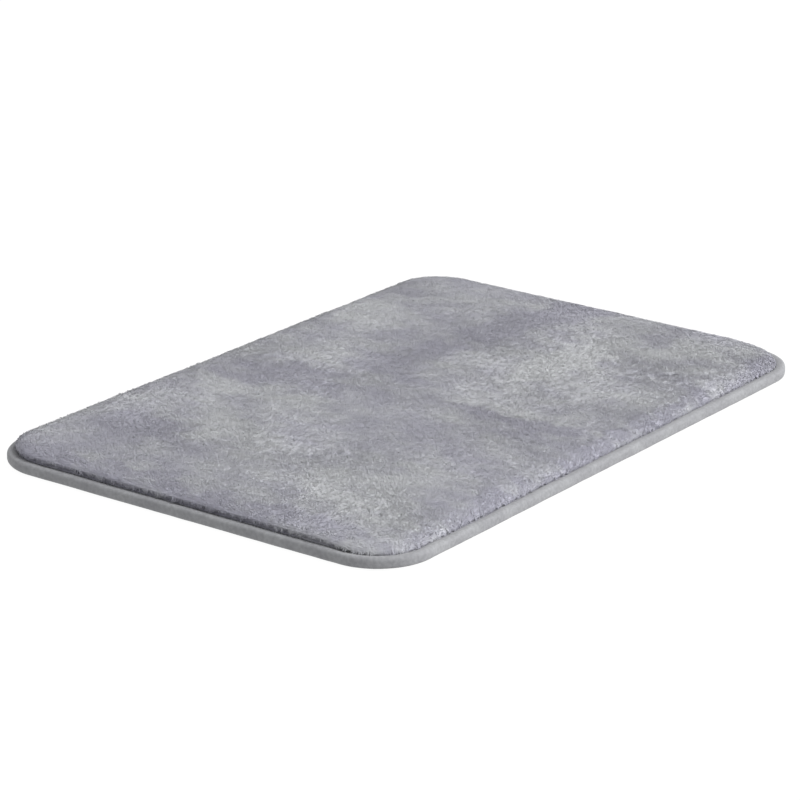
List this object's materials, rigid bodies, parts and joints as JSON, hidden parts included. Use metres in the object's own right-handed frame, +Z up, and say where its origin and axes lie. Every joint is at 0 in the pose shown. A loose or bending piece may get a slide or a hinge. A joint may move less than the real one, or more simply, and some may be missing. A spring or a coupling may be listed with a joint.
{
  "type": "bath mat",
  "caption": "Rectangular padded bath mat with rounded corners, a crowned plush face, a smooth band round the edge and a non-slip dotted underside.",
  "frame": {"origin": "middle of the underside, on the floor that the mat rests on", "axes": "+X along the length, +Y across the width, +Z up out of the plush face"},
  "size_m": [0.6, 0.4, 0.02],
  "materials": {
    "plush_pile": "matte",
    "band_suede": "matte",
    "seam_thread": "satin",
    "memory_foam": "matte",
    "backing_weave": "matte",
    "grip_dot": "satin"
  },
  "bodies": {
    "root": {"face_panel": "plush_pile", "edge_band": "band_suede", "face_seam_thread": "seam_thread", "backing_seam_thread": "seam_thread", "band_join_thread": "seam_thread", "foam_core": "memory_foam", "backing_cloth": "backing_weave", "grip_dots": "grip_dot"}
  },
  "joints": []
}
